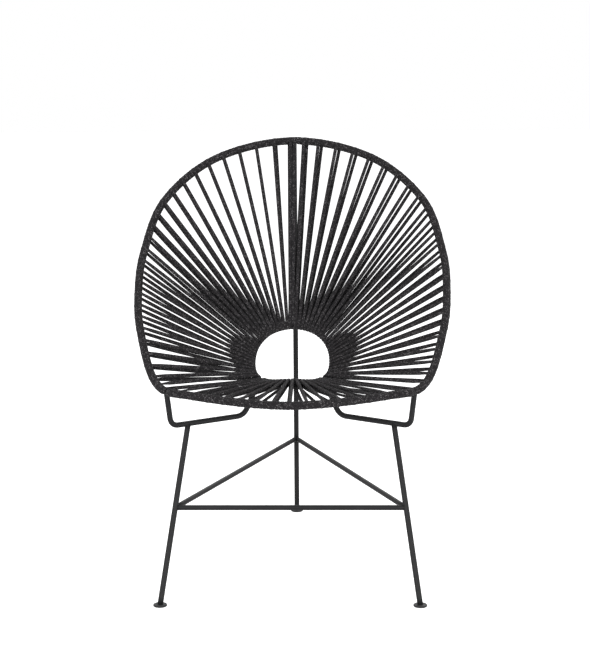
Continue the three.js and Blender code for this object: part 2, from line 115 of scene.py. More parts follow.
class ChairCordSizes(bpy.types.PropertyGroup):
    width: length("Cord width", "Width of a free strand", 0.0080)
    thickness: length("Cord thickness", "Thickness of a free strand", 0.0079)
    seat_thickness: length("Seat cord thickness", "The same in the seat, where it is sat flat",
                           0.0054)
    flat_width: length("Flat width", "Width where it lies on the hoop", 0.0080)
    flat_thickness: length("Flat thickness", "Thickness where it lies on the hoop", 0.0024)
    proud: length("Loop stand-off", "How far a loop stands out of the close turns", 0.0004)
    round_length: length("Rounding length", "From the hoop to where a strand is round", 0.028)
    crowded_width: length("Crowded width", "Width where strands crowd at the ring", 0.0078)
    crowded_thickness: length("Crowded thickness", "Thickness where they leave the ring", 0.0034)
    hole_thickness: length("Hole thickness", "Thickness inside the ring's hole", 0.0034)
    crowding_length: length("Crowding length", "From the ring to where strands are free", 0.040)
    winding_pitch: length("Winding pitch", "From one close turn on the hoop to the next", 0.0080)
    winding_thickness: length("Winding thickness", "Thickness of the close turns", 0.0027)
    winding_gap: length("Winding gap", "From the rod to the close turns", 0.0002)
    weld_gap: length("Weld gap", "From a welded rod's centre to the close turns", 0.0068)
    cover_offset: length("Cover offset", "From a welded rod's centre to a turn over it", 0.0036)
    cover_tuck: length("Cover tuck", "How far that turn's ends slide under the rest", 0.0070)
    right_lag: length("Lag on the right", "How far a loop moves on over the hoop", 0.0070)
    left_lag: length("Lag on the left", "How far a loop moves on over the hoop", 0.0010)
    top_left_lag: length("Lag of the top left loop", "The same at the loop by the middle", 0.0050)
    low_left_lag: length("Lag of the low left loops", "The same at the paired loops", 0.0065)
    paired_loops: number("Paired loops", "Low left loops whose strands lie side by side", 4)
    seat_lag: length("Lag on the seat", "How far a loop moves on over the hoop", 0.004)
    top_ring_lag: length("Ring lag at the top", "From the front strand to the back", 0.0010)
    right_ring_lag: length("Ring lag on the right", "The same at the bracket", -0.0078)
    left_ring_lag: length("Ring lag on the left", "The same at the bracket", 0.0048)
    seat_ring_lag: length("Ring lag on the seat", "From the front strand to the back", 0.0043)
    spine_spacing: length("Spine spacing", "Between the two cords down the middle", 0.0094)
    spine_offset: length("Spine offset", "From the middle to between those two cords", -0.0036)
    right_spine_back: length("Right spine behind", "Place of its strand behind the leg", 0.0217)
    left_spine_back: length("Left spine behind", "Place of its strand behind the leg", -0.0115)
    first_right: length("First loop on the right", "From the top, along the hoop", 0.0225)
    second_right: length("Second loop on the right", "From the top, along the hoop", 0.0575)
    first_left: length("First loop on the left", "From the top, along the hoop", 0.048)
    last_right: length("Last loop on the right", "From the bracket, along the hoop", 0.040)
    last_left: length("Last loop on the left", "From the bracket, along the hoop", 0.032)
    top_pitch: share("Top pitch gain", "How much wider loops stand at the top", 0.26)
    right_eased: number("Eased loops on the right", "Loops until the pitch is even", 10)
    left_eased: number("Eased loops on the left", "Loops until the pitch is even", 8)
    right_ring_start: length("Ring start on the right", "From the ring's top to a loop", 0.006)
    left_ring_start: length("Ring start on the left", "From the ring's top to a loop", 0.014)
    ring_growth: share("Ring pitch growth", "How much wider loops stand at the bracket", 0.45)
    ring_weld: length("Ring weld room", "From a bracket's centre to the nearest loop", 0.0096)
    ring_lean: length("Ring lean room", "More room where the bracket leans", 0.0025)
    bank_loops: number("Loops in a side bank", "On each side of the middle", 25)
    seat_loops: number("Loops in the seat", "Between the brackets", 17)


class ChairColours(bpy.types.PropertyGroup):
    steel: colour("Steel", "Powder coat on the rods", (0.0132, 0.0132, 0.0141))
    cord: colour("Cord", "Main colour of the braided cord", (0.0250, 0.0230, 0.0250))
    # Painted shade: the low parts between the braid's yarns are darkened to this colour.
    cord_painted_shade: colour("Cord shade", "Between the braid's yarns", (0.003, 0.0027, 0.003))
    # Painted highlight: the crowns of some yarns, picked at random, are lightened to this colour.
    cord_highlight: colour("Cord fleck", "Worn and lighter yarns", (0.22, 0.207, 0.214))
    foot: colour("Foot", "Moulded discs", (0.013, 0.013, 0.014))
    floor: colour("Floor", "Plain pale floor", (0.93, 0.93, 0.935))


class ChairView(bpy.types.PropertyGroup):
    across: length("Camera across", "Camera's place along X", 0.0969)
    back: length("Camera depth", "Camera's place along Y", -3.9885)
    height: length("Camera height", "Camera's place along Z", 1.2703)
    turn: angle("Camera turn", "Turn about the upright axis", 1.305)
    tilt: angle("Camera tilt", "Tilt down from level", 10.541)
    roll: angle("Camera roll", "Roll about the line of sight", -0.368)
    focal: FloatProperty(name="Focal length", description="Lens on a 36 mm wide sensor",
                         default=112.05, unit="CAMERA")


# Curves of the hoop and the ring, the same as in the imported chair

HOOP_OUTLINE_SHARES = np.array([
    (0, 1, 1), (0.522, 0.954, 0.928), (0.868, 0.856, 0.748), (0.99, 0.703, 0.535),
    (1.005, 0.555, 0.382), (0.969, 0.413, 0.235), (0.844, 0.25, 0.046), (0.598, 0.09, 0.036),
    (0, 0, 0.02)])
RING_OUTLINE_SHARES = np.array([
    (0, 1, 1), (0.54, 0.935, 0.902), (0.88, 0.763, 0.662), (1, 0.518, 0.369),
    (0.92, 0.26, 0.098), (0.583, 0.065, 0), (0, 0, 0.033)])


def mirrored_outline(outline_shares, half_width, front, depth, low, rise):
    """Half outline from the top to the front, and its mirror image back to the top."""
    half = np.array((0, front, low)) + outline_shares * np.array((half_width, depth, rise))
    return np.concatenate((half, half[-2:0:-1] * np.array((-1, 1, 1))))


MEASURING_STEPS = 2400
TANGENT_SHARE = 0.004


class LoopCurve:
    """Closed curve of a bent rod through its outline's points."""

    def __init__(self, points):
        self.points = points
        self.shares = np.linspace(-1, 1, MEASURING_STEPS + 1)
        steps = np.linalg.norm(np.diff(self.at(self.shares), axis=0), axis=1)
        lengths = np.concatenate(((0,), np.cumsum(steps)))
        self.lengths = lengths - lengths[MEASURING_STEPS // 2]

    def at(self, shares):
        """On each span a cubic runs from one point to the next, and its slope at either end
        is half the difference of the points on both sides of that end."""
        count = len(self.points)
        place = np.mod(np.asarray(shares, float), 1) * count
        span = np.floor(place).astype(int)
        part = (place - span)[..., None]
        before, start, end, after = (
            self.points[(span + step) % count] for step in (-1, 0, 1, 2))
        start_slope = (end - before) / 2
        end_slope = (after - start) / 2
        return ((2 * part**3 - 3 * part**2 + 1) * start
                + (part**3 - 2 * part**2 + part) * start_slope
                + (3 * part**2 - 2 * part**3) * end
                + (part**3 - part**2) * end_slope)

    def length_to(self, shares):
        """Lengths along the curve from its top to the given shares."""
        return np.interp(shares, self.shares, self.lengths)

    def share_at(self, lengths):
        """Shares of the places at the given lengths from the top."""
        return np.interp(lengths, self.lengths, self.shares)

    def moved(self, shares, distance):
        """Shares of the places that lie this far round the curve from the given shares."""
        return self.share_at(self.length_to(shares) + distance)


def unit(vectors):
    """The same directions with a length of one."""
    return vectors / np.linalg.norm(vectors, axis=-1, keepdims=True)


class RodFrames:
    """Frames on a loop rod: its centre, along it, out of the bucket's front face, and
    outward, away from the other loop on the hoop and towards it on the ring. Without shares
    of its own, the other loop is taken at the same ones."""

    def __init__(self, curve, other, side, shares, other_shares=None):
        if other_shares is None:
            other_shares = shares
        self.centre = curve.at(shares)
        self.along = unit(curve.at(shares + TANGENT_SHARE) - curve.at(shares - TANGENT_SHARE))
        across = (other.at(other_shares) - self.centre) * side
        self.front = unit(np.cross(across, self.along))
        self.outward = unit(np.cross(self.front, self.along))

    def radial(self, angles):
        """Unit vectors at an angle round the rod, which is zero at the bucket's front."""
        angles = np.asarray(angles)[..., None]
        return self.front * np.cos(angles) + self.outward * np.sin(angles)


def chair_curves(scene):
    """The hoop's and the ring's curves, from the sizes."""
    sizes = scene.chair_loops
    hoop = LoopCurve(mirrored_outline(
        HOOP_OUTLINE_SHARES, sizes.hoop_half_width, sizes.hoop_front, sizes.hoop_depth,
        sizes.hoop_low, sizes.hoop_rise))
    ring = LoopCurve(mirrored_outline(
        RING_OUTLINE_SHARES, sizes.ring_half_width, sizes.ring_front, sizes.ring_depth,
        sizes.ring_low, sizes.ring_rise))
    return hoop, ring


def hoop_frames(curves, *shares):
    hoop, ring = curves
    return RodFrames(hoop, ring, 1, *shares)


def ring_frames(curves, *shares):
    hoop, ring = curves
    return RodFrames(ring, hoop, -1, *shares)


# Meshes

def signed_volume(points, quads):
    """Six times the volume inside the skin, from each face's two triangles. It is below zero
    where the faces point inwards."""
    a, b, c, d = (points[quads[:, corner]] for corner in range(4))
    return (np.einsum("ij,ij->i", np.cross(a, b), c).sum()
            + np.einsum("ij,ij->i", np.cross(a, c), d).sum())


def swept_mesh(name, grid, closed=False, rounds=1):
    """Mesh of a profile carried along a path: one row of the grid is the profile at one
    place. The skin joins each row to the next, and closes on itself or ends in flat caps.
    The UV map runs with the length along the path, and rounds times round the profile."""
    rows, sides = grid.shape[:2]
    spans = rows if closed else rows - 1
    row, side = np.meshgrid(np.arange(spans), np.arange(sides), indexing="ij")
    next_row, next_side = (row + 1) % rows, (side + 1) % sides
    quads = np.stack((row * sides + side, row * sides + next_side,
                      next_row * sides + next_side, next_row * sides + side), -1).reshape(-1, 4)
    points = grid.reshape(-1, 3)
    steps = np.linalg.norm(np.diff(grid.mean(1), axis=0), axis=1)
    lengths = np.concatenate(((0,), np.cumsum(np.append(steps, steps[-1]))))
    along = np.stack((lengths[row], lengths[row], lengths[row + 1], lengths[row + 1]), -1)
    around = np.stack((side, side + 1, side + 1, side), -1) / sides * rounds
    uv = np.stack((along, around), -1).reshape(-1, 2)
    flipped = signed_volume(points, quads) < 0
    if flipped:
        quads = quads[:, ::-1]
        uv = uv.reshape(-1, 4, 2)[:, ::-1].reshape(-1, 2)
    caps = []
    if not closed:
        first = np.arange(sides)
        last = first + (rows - 1) * sides
        caps = [first, last[::-1]] if flipped else [first[::-1], last]
    return filled_mesh(name, points, quads, caps, uv)


def filled_mesh(name, points, quads, caps, uv):
    """Mesh from whole arrays of points, four-cornered faces, end caps and UV places."""
    corners = np.concatenate((quads.reshape(-1), *caps)).astype(np.int32)
    sizes = np.concatenate((np.full(len(quads), 4), [len(cap) for cap in caps])).astype(np.int32)
    starts = np.concatenate(((0,), np.cumsum(sizes)[:-1])).astype(np.int32)
    mesh = bpy.data.meshes.new(name)
    mesh.vertices.add(len(points))
    mesh.vertices.foreach_set("co", points.astype(np.float32).reshape(-1))
    mesh.loops.add(len(corners))
    mesh.loops.foreach_set("vertex_index", corners)
    mesh.polygons.add(len(sizes))
    mesh.polygons.foreach_set("loop_start", starts)
    mesh.polygons.foreach_set("loop_total", sizes)
    mesh.update(calc_edges=True)
    mesh.validate()
    mesh.polygons.foreach_set("use_smooth", np.arange(len(sizes)) < len(quads))
    layer = mesh.uv_layers.new(name="UVMap")
    places = np.zeros((len(corners), 2), np.float32)
    places[:len(uv)] = uv
    layer.uv.foreach_set("vector", places.reshape(-1))
    return mesh


def add_piece(scene, name, mesh, slot, *replaced):
    """Add a piece with its slot's finish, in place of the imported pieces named."""
    piece = bpy.data.objects.new(name, mesh)
    scene.collection.objects.link(piece)
    mesh.materials.append(material(scene, slot))
    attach(piece, "root")
    if replaced:
        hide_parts(*replaced)


ROD_SIDES = 32
LOOP_ROD_SIDES = 24
ROD_ROWS = 24
BEND_ROWS = 16


def circles(centres, first, second, radius, sides):
    """Circles of points: each centre, plus the radius times the angle's cosine along the
    first direction and its sine along the second."""
    turn = (np.arange(sides) / sides * FULL_TURN)[:, None]
    return centres[:, None] + radius * (
        first[:, None] * np.cos(turn) + second[:, None] * np.sin(turn))


def round_rod(name, path, normal, radius, level_start):
    """A circle carried along a path and square to it. A level start has its points slid
    along the rod to one height."""
    along = unit(np.gradient(path, axis=0))
    side = unit(np.cross(along, normal))
    grid = circles(path, side, np.cross(side, along), radius, ROD_SIDES)
    if level_start:
        slide = (path[0, 2] - grid[0, :, 2]) / along[0, 2]
        grid[0] += along[0] * slide[:, None]
    return swept_mesh(name, grid, rounds=FULL_TURN * radius)


def straight_path(start, end):
    """Places evenly from the start to the end."""
    part = np.linspace(0, 1, ROD_ROWS)[:, None]
    return start + (end - start) * part


# Materials

WHITE = (1, 1, 1)
WHOLE = (0, 1)
NOISE_MIDDLE = (0.3, 0.7)
WORN_RANGE = (0.3, 0.8)

# The mix node's colour sockets share their names with its other sockets
MIX_FIRST, MIX_SECOND, MIX_RESULT = 6, 7, 2


class NodeTree:
    """Short calls for building the nodes of a material or of the world."""

    def __init__(self, owner):
        owner.use_nodes = True
        self.tree = owner.node_tree
        self.shader = self.tree.nodes.get("Principled BSDF") or self.tree.nodes["Background"]

    def fill(self, node, inputs):
        """Set a node's inputs, by name or place, to numbers, colours or other nodes' outputs."""
        for key, value in inputs.items():
            if isinstance(value, bpy.types.NodeSocket):
                self.tree.links.new(value, node.inputs[key])
            elif isinstance(value, (int, float)):
                node.inputs[key].default_value = value
            else:
                node.inputs[key].default_value = (*value, 1)

    def shade(self, inputs):
        self.fill(self.shader, inputs)

    def node(self, kind, inputs=None, **settings):
        made = self.tree.nodes.new(kind)
        for key, value in settings.items():
            setattr(made, key, value)
        self.fill(made, inputs or {})
        return made

    def math(self, operation, *values):
        return self.node("ShaderNodeMath", dict(enumerate(values)),
                         operation=operation).outputs[0]

    def mix(self, factor, first, second):
        inputs = {"Factor": factor, MIX_FIRST: first, MIX_SECOND: second}
        return self.node("ShaderNodeMix", inputs, data_type="RGBA").outputs[MIX_RESULT]

    def noise(self, vector, scale, detail=2, roughness=0.5):
        return self.node("ShaderNodeTexNoise", {
            "Vector": vector, "Scale": scale, "Detail": detail, "Roughness": roughness,
        }).outputs["Fac"]

    def ramp(self, value, source, target=WHOLE):
        """The value carried evenly from its source range to the target range."""
        return self.node("ShaderNodeMapRange", {
            "Value": value, "From Min": source[0], "From Max": source[1],
            "To Min": target[0], "To Max": target[1],
        }).outputs["Result"]

    def bump(self, height, distance, strength):
        made = self.node("ShaderNodeBump", {
            "Height": height, "Distance": distance, "Strength": strength})
        self.shade({"Normal": made.outputs["Normal"]})

    def object_place(self):
        return self.node("ShaderNodeTexCoord").outputs["Object"]


COAT_GRAIN_SCALE = 1400
COAT_GRAIN_DEPTH = 0.0002
COAT_GRAIN_STRENGTH = 0.5
COAT_PATCH_SCALE = 22
COAT_PATCH_RANGE = (0.35, 0.75)
COAT_PATCH_GAIN = 1.5
COAT_ROUGHNESS = (0.42, 0.54)
COAT_WORN_ROUGHNESS = (0, 0.06)
COAT_SPECULAR = 0.22


def steel_finish(nodes, colours):
    """Satin powder coat: a fine orange-peel grain, with faint rubbed patches."""
    place = nodes.object_place()
    grain = nodes.noise(place, COAT_GRAIN_SCALE)
    patches = nodes.noise(place, COAT_PATCH_SCALE, detail=3)
    rubbed = [channel * COAT_PATCH_GAIN for channel in colours.steel]
    nodes.shade({
        "Base Color": nodes.mix(nodes.ramp(patches, COAT_PATCH_RANGE), colours.steel, rubbed),
        "Roughness": nodes.math("ADD", nodes.ramp(grain, NOISE_MIDDLE, COAT_ROUGHNESS),
                                nodes.ramp(patches, WORN_RANGE, COAT_WORN_ROUGHNESS)),
        "Specular IOR Level": COAT_SPECULAR})
    nodes.bump(grain, COAT_GRAIN_DEPTH, COAT_GRAIN_STRENGTH)


FOOT_PEBBLE_SCALE = 900
FOOT_PEBBLE_DEPTH = 0.0002
FOOT_PEBBLE_STRENGTH = 0.4
FOOT_SCUFF_SCALE = 120
FOOT_SCUFF_RANGE = (0.58, 0.75)
FOOT_SCUFF_GAIN = 3
FOOT_ROUGHNESS = (0.5, 0.75)


def foot_finish(nodes, colours):
    """Moulded plastic: a soft pebble and light scuffs."""
    place = nodes.object_place()
    pebble = nodes.noise(place, FOOT_PEBBLE_SCALE, detail=3)
    scuffs = nodes.noise(place, FOOT_SCUFF_SCALE, detail=4, roughness=0.7)
    scuffed = [channel * FOOT_SCUFF_GAIN for channel in colours.foot]
    nodes.shade({
        "Base Color": nodes.mix(nodes.ramp(scuffs, FOOT_SCUFF_RANGE), colours.foot, scuffed),
        "Roughness": nodes.ramp(scuffs, WORN_RANGE, FOOT_ROUGHNESS)})
    nodes.bump(pebble, FOOT_PEBBLE_DEPTH, FOOT_PEBBLE_STRENGTH)


YARN_LENGTH = 0.0032
YARN_ROUNDS = 6
YARN_UNDER_HEIGHT = (0.55, 1)
YARN_DEPTH = 0.0006
YARN_STRENGTH = 0.8
SHADE_HEIGHT_RANGE = (0.15, 0.75)
# These set the painted highlights on the yarns' crowns, and the large patches that vary how much
# of them shows.
HIGHLIGHT_TONE_RANGE = (0.6, 0.95)
HIGHLIGHT_HEIGHT_RANGE = (0.4, 0.9)
HIGHLIGHT_PATCH_SCALE = 60
HIGHLIGHT_PATCH_SHARE = (0.35, 1)
FIBRE_SCALE = 1800
FIBRE_HEIGHT = (0, 0.25)
CORD_ROUGHNESS = (0.62, 0.85)
CORD_SPECULAR = 0.14
CORD_SHEEN = 0.03
CORD_SHEEN_ROUGHNESS = 0.5


def cord_finish(nodes, colours):
    """Braided cord, on the piece's UV map. Two sets of yarns run across each other on the
    slant. In a cell where the cells' numbers add up to an even number one set is on top, and
    otherwise the other is. A yarn is highest on its middle and where it is on top. The colour
    holds painted shade, darker where the yarns are low between each other, and painted
    highlights, light on the crowns of some yarns picked at random."""
    uv = nodes.node("ShaderNodeUVMap", uv_map="UVMap").outputs["UV"]
    split = nodes.node("ShaderNodeSeparateXYZ", {"Vector": uv})
    along = nodes.math("DIVIDE", split.outputs["X"], YARN_LENGTH)
    around = nodes.math("MULTIPLY", split.outputs["Y"], YARN_ROUNDS)
    first = nodes.math("ADD", along, around)
    second = nodes.math("SUBTRACT", along, around)

    def profile(value):
        return nodes.math("SINE", nodes.math("MULTIPLY", nodes.math("FRACT", value), HALF_TURN))

    cells = nodes.math("ADD", nodes.math("FLOOR", first), nodes.math("FLOOR", second))
    top = nodes.math("PINGPONG", cells, 1)
    over_first = nodes.math("MULTIPLY", profile(first),
                            nodes.ramp(profile(second), WHOLE, YARN_UNDER_HEIGHT))
    over_second = nodes.math("MULTIPLY", profile(second),
                             nodes.ramp(profile(first), WHOLE, YARN_UNDER_HEIGHT))
    height = nodes.math("ADD", nodes.math("MULTIPLY", over_first, top),
                        nodes.math("MULTIPLY", over_second, nodes.math("SUBTRACT", 1, top)))
    yarns = nodes.node("ShaderNodeCombineXYZ", {
        "X": nodes.math("FLOOR", first), "Y": nodes.math("FLOOR", second)})
    tone = nodes.node("ShaderNodeTexWhiteNoise", {"Vector": yarns.outputs[0]},
                      noise_dimensions="2D")
    place = nodes.object_place()
    fibres = nodes.noise(place, FIBRE_SCALE, detail=3, roughness=0.7)
    highlight_patches = nodes.noise(place, HIGHLIGHT_PATCH_SCALE, detail=3)
    # Painted shade: the colour darkens towards the shade colour where the yarns are low, between
    # them.
    groove_shaded = nodes.mix(nodes.ramp(height, SHADE_HEIGHT_RANGE), colours.cord_painted_shade, colours.cord)
    # Painted highlights: the crowns of some yarns, picked at random and thinned out in large
    # patches, turn light.
    lit = nodes.math("MULTIPLY", nodes.ramp(tone.outputs["Value"], HIGHLIGHT_TONE_RANGE),
                     nodes.ramp(height, HIGHLIGHT_HEIGHT_RANGE))
    highlight_share = nodes.math("MULTIPLY", lit, nodes.ramp(highlight_patches, NOISE_MIDDLE, HIGHLIGHT_PATCH_SHARE))
    nodes.shade({"Base Color": nodes.mix(highlight_share, groove_shaded, colours.cord_highlight),
                 "Roughness": nodes.ramp(fibres, NOISE_MIDDLE, CORD_ROUGHNESS),
                 "Specular IOR Level": CORD_SPECULAR, "Sheen Weight": CORD_SHEEN,
                 "Sheen Roughness": CORD_SHEEN_ROUGHNESS})
    relief = nodes.math("ADD", height, nodes.ramp(fibres, WHOLE, FIBRE_HEIGHT))
    nodes.bump(relief, YARN_DEPTH, YARN_STRENGTH)


FINISHES = {"steel": ("steel_powder_coat", steel_finish), "foot": ("foot_plastic", foot_finish),
            "cord": ("cord_braid", cord_finish)}


def material(scene, slot):
    """The finish of that slot, made once."""
    name, finish = FINISHES[slot]
    made = bpy.data.materials.get(name)
    if made is None:
        made = bpy.data.materials.new(name)
        finish(NodeTree(made), scene.chair_colours)
    return made


# Steel

SIDE_NAMES = {-1: "left", 1: "right"}


def at_height(foot, top, height):
    """The place at that height on the line from the foot to the top."""
    return foot + (top - foot) * (height - foot[2]) / (top[2] - foot[2])


def bracket_path(curves, steel, shares):
    """Path of a U-bent bracket: down from the hoop, a run inwards, and up to the ring. Each
    bend is a quadratic curve that starts and ends the bend radius from its corner."""
    hoop_end, ring_end = (curve.at(np.array(share)) for curve, share in zip(curves, shares))
    inward = unit((ring_end - hoop_end) * np.array((1, 1, 0)))
    down = np.array((0, 0, -1))
    outer = hoop_end + inward * steel.outer_inset + down * steel.outer_drop
    inner = ring_end - inward * steel.inner_inset + down * steel.inner_drop

    def bend(before, corner, after):
        start = corner + unit(before - corner) * steel.bend_radius
        end = corner + unit(after - corner) * steel.bend_radius
        part = np.linspace(0, 1, BEND_ROWS)[:, None]
        return (1 - part)**2 * start + 2 * part * (1 - part) * corner + part**2 * end

    first, second = bend(hoop_end, outer, inner), bend(outer, inner, ring_end)
    path = np.concatenate((straight_path(hoop_end, first[0])[:-1], first[:-1],
                           straight_path(first[-1], second[0])[:-1], second[:-1],
                           straight_path(second[-1], ring_end)))
    return path, np.cross(inward, down), outer, inner


def steel_places(scene):
    """Feet, weld points and brace ends, by side: -1 on the left and 1 on the right."""
    steel, curves = scene.chair_steel, chair_curves(scene)
    places = {"top": curves[0].at(np.array(0.0)),
              "back_foot": np.array((0, steel.foot_half_depth, 0))}
    loops = scene.chair_loops
    for sign in SIDE_NAMES:
        path, normal, outer, inner = bracket_path(
            curves, steel, (sign * loops.hoop_bracket, sign * loops.ring_bracket))
        foot = np.array((sign * steel.foot_half_spread, -steel.foot_half_depth, 0))
        leg_top = outer + unit(inner - outer) * steel.leg_inset
        places[sign] = {"path": path, "normal": normal, "foot": foot, "leg_top": leg_top,
                        "joint": at_height(foot, leg_top, steel.brace_height)}
    places["back_joint"] = at_height(places["back_foot"], places["top"], steel.brace_height)
    return places


def add_rod(scene, name, path, normal, radius, level_start=False):
    mesh = round_rod(name, path, normal, radius, level_start)
    add_piece(scene, f"{name}_coated", mesh, "steel", name)


UPRIGHT_NORMAL = np.array((0.0, 1.0, 0.0))
LEVEL_NORMAL = np.array((0.0, 0.0, 1.0))
HOOP_ROWS = 288
RING_ROWS = 120


class CHAIR_OT_loops(bpy.types.Operator):
    """Add the steel hoop and the steel seat ring"""
    bl_idname = "chair.loops"
    bl_label = "Hoop and Ring"

    def execute(self, context):
        scene = context.scene
        curves = chair_curves(scene)
        for name, frames_of, rows in (("hoop_rod", hoop_frames, HOOP_ROWS),
                                      ("seat_ring_rod", ring_frames, RING_ROWS)):
            frames = frames_of(curves, np.arange(rows) / rows)
            grid = circles(frames.centre, frames.front, frames.outward,
                           scene.chair_steel.frame_radius, LOOP_ROD_SIDES)
            add_piece(scene, f"{name}_coated", swept_mesh(name, grid, closed=True), "steel", name)
        return {"FINISHED"}


class CHAIR_OT_legs(bpy.types.Operator):
    """Add the brackets, the legs and the braces"""
    bl_idname = "chair.legs"
    bl_label = "Legs and Braces"

    def execute(self, context):
        scene = context.scene
        steel, places = scene.chair_steel, steel_places(scene)
        lift = np.array((0, 0, steel.foot_thickness / 2))
        for sign, side in SIDE_NAMES.items():
            at = places[sign]
            add_rod(scene, f"bracket_{side}", at["path"], at["normal"], steel.frame_radius)
            add_rod(scene, f"front_leg_{side}", straight_path(at["foot"] + lift, at["leg_top"]),
                    UPRIGHT_NORMAL, steel.frame_radius, level_start=True)
            add_rod(scene, f"stretcher_{side}", straight_path(at["joint"], places["back_joint"]),
                    LEVEL_NORMAL, steel.brace_radius)
        add_rod(scene, "front_crossbar", straight_path(places[-1]["joint"], places[1]["joint"]),
                LEVEL_NORMAL, steel.brace_radius)
        add_rod(scene, "back_leg", straight_path(places["back_foot"] + lift, places["top"]),
                UPRIGHT_NORMAL, steel.frame_radius, level_start=True)
        return {"FINISHED"}


class CHAIR_OT_feet(bpy.types.Operator):
    """Finish the discs under the legs"""
    bl_idname = "chair.feet"
    bl_label = "Feet"

    def execute(self, context):
        finish = material(context.scene, "foot")
        for name in ("foot_left", "foot_right", "foot_back"):
            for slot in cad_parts[name].material_slots:
                slot.material = finish
        return {"FINISHED"}


# Cord

ROUND_SIDES = 14
ROUND_SQUARENESS = 2.3
FLAT_SQUARENESS = 3.4


def cord_grid(centres, across, through, squareness=ROUND_SQUARENESS):
    """Flattened round of the cord at each place: a superellipse whose half axes are the
    vectors across and through, so a point is their sum times the signed powers of the
    angle's cosine and sine."""
    turn = np.arange(ROUND_SIDES) / ROUND_SIDES * FULL_TURN
    power = 2 / squareness
    wide = np.sign(np.cos(turn)) * np.abs(np.cos(turn))**power
    deep = np.sign(np.sin(turn)) * np.abs(np.sin(turn))**power
    return centres[:, None] + across[:, None] * wide[:, None] + through[:, None] * deep[:, None]


WINDING_STEPS = 20
COVER_STEPS = 32


class CHAIR_OT_hoop_winding(bpy.types.Operator):
    """Wind the cord close round the hoop, between the welds"""
    bl_idname = "chair.hoop_winding"
    bl_label = "Hoop Winding"

    def execute(self, context):
        scene = context.scene
        curves, cord = chair_curves(scene), scene.chair_cord
        hoop, corner = curves[0], scene.chair_loops.hoop_bracket
        stretches = {"right": (0, corner), "front": (corner, 1 - corner), "left": (-corner, 0)}
        for side, (start, end) in stretches.items():
            mesh = winding_mesh(scene, curves, f"hoop_wrap_{side}",
                                hoop.moved(start, cord.weld_gap), hoop.moved(end, -cord.weld_gap))
            add_piece(scene, f"hoop_winding_{side}", mesh, "cord", f"hoop_wrap_{side}")
        places = steel_places(scene)
        for sign, side in SIDE_NAMES.items():
            path = places[sign]["path"]
            self.cover_weld(scene, curves, f"bracket_{side}", corner * sign, path[1] - path[0])
        self.cover_weld(scene, curves, "top", 0, places["back_foot"] - places["top"])
        return {"FINISHED"}

    def cover_weld(self, scene, curves, name, share, away):
        """Two turns of the cord over a weld, one on each side of its middle."""
        for place, step in (("before", -1), ("after", 1)):
            cover = f"weld_cover_{name}_{place}"
            mesh = cover_mesh(scene, curves, cover, curves[0].length_to(share), step, away)
            add_piece(scene, cover, mesh, "cord")


def winding_mesh(scene, curves, name, start, end):
    """The cord's flattened round carried along a helix on the hoop. The helix turns once
    while it moves one pitch along the rod, from the rod's side towards the ring on, and its
    radius is the rod's plus half the cord."""
    hoop, cord = curves[0], scene.chair_cord
    first, last = hoop.length_to(start), hoop.length_to(end)
    stretch = last - first - cord.flat_width
    turns = int(stretch / cord.winding_pitch)
    part = np.linspace(0, 1, turns * WINDING_STEPS + 1)
    shares = hoop.share_at(first + cord.flat_width / 2 + stretch * part)
    frames = hoop_frames(curves, shares)
    radial = frames.radial(part * turns * FULL_TURN - QUARTER_TURN)
    radius = scene.chair_steel.frame_radius + cord.winding_gap + cord.winding_thickness / 2
    centres = frames.centre + radial * radius
    along = unit(np.gradient(centres, axis=0))
    across = unit(np.cross(along, radial)) * (stretch / turns / 2)
    grid = cord_grid(centres, across, radial * (cord.winding_thickness / 2), FLAT_SQUARENESS)
    return swept_mesh(name, grid)


def cover_mesh(scene, curves, name, middle, side, away):
    """An arc of the cord round the hoop, from one side of a welded rod to the other. Its place
    along the hoop is the offset, plus the tuck times the cube of how near it is to an end,
    and its radius falls by half the cord's thickness in the same way, so the ends slide
    under."""
    hoop, cord = curves[0], scene.chair_cord
    rod = scene.chair_steel.frame_radius
    reach = rod + cord.winding_gap + cord.winding_thickness / 2 + cord.proud
    clear = np.arcsin(rod / reach) + cord.proud / reach
    part = np.linspace(0, 1, COVER_STEPS + 1)
    end = np.abs(2 * part - 1)**3
    shares = hoop.share_at(middle + side * (cord.cover_offset + cord.cover_tuck * end))
    frames = hoop_frames(curves, shares)
    half = COVER_STEPS // 2
    weld = np.arctan2(frames.outward[half] @ away, frames.front[half] @ away)
    radial = frames.radial(weld + clear + part * (FULL_TURN - 2 * clear))
    centres = frames.centre + radial * (reach - cord.winding_thickness * end / 2)[:, None]
    grid = cord_grid(centres, frames.along * (cord.flat_width / 2),
                     radial * (cord.winding_thickness / 2), FLAT_SQUARENESS)
    return swept_mesh(name, grid)


def spaced_lengths(first, last, pitches):
    """Lengths from the first to the last, with steps in proportion to the pitches."""
    run = np.concatenate(((0,), np.cumsum(pitches)))
    return first + (last - first) * run / run[-1]


def eased_lengths(first, last, count, gain, eased):
    """Lengths of a bank's loops along the hoop. Each pitch is the even one times one plus
    the gain, which falls evenly to nothing over the eased loops."""
    part = np.arange(count - 1) / eased
    return spaced_lengths(first, last, 1 + gain * np.clip(1 - part, 0, 1))


def grown_lengths(first, last, count, growth):
    """Lengths of a bank's loops along the ring. Each pitch is the first one times one plus
    the growth, which comes in evenly from the first loop to the last."""
    return spaced_lengths(first, last, 1 + growth * np.linspace(0, 1, count - 1))


def loop_shares(curves, hoop_places, hoop_behind, ring_places, ring_lag):
    """Loops at these lengths, each a row of shares: hoop in front, hoop behind, ring in
    front, ring behind."""
    hoop, ring = curves
    return np.stack((hoop.share_at(hoop_places), hoop.share_at(hoop_behind),
                     ring.share_at(ring_places), ring.share_at(ring_places + ring_lag)), 1)


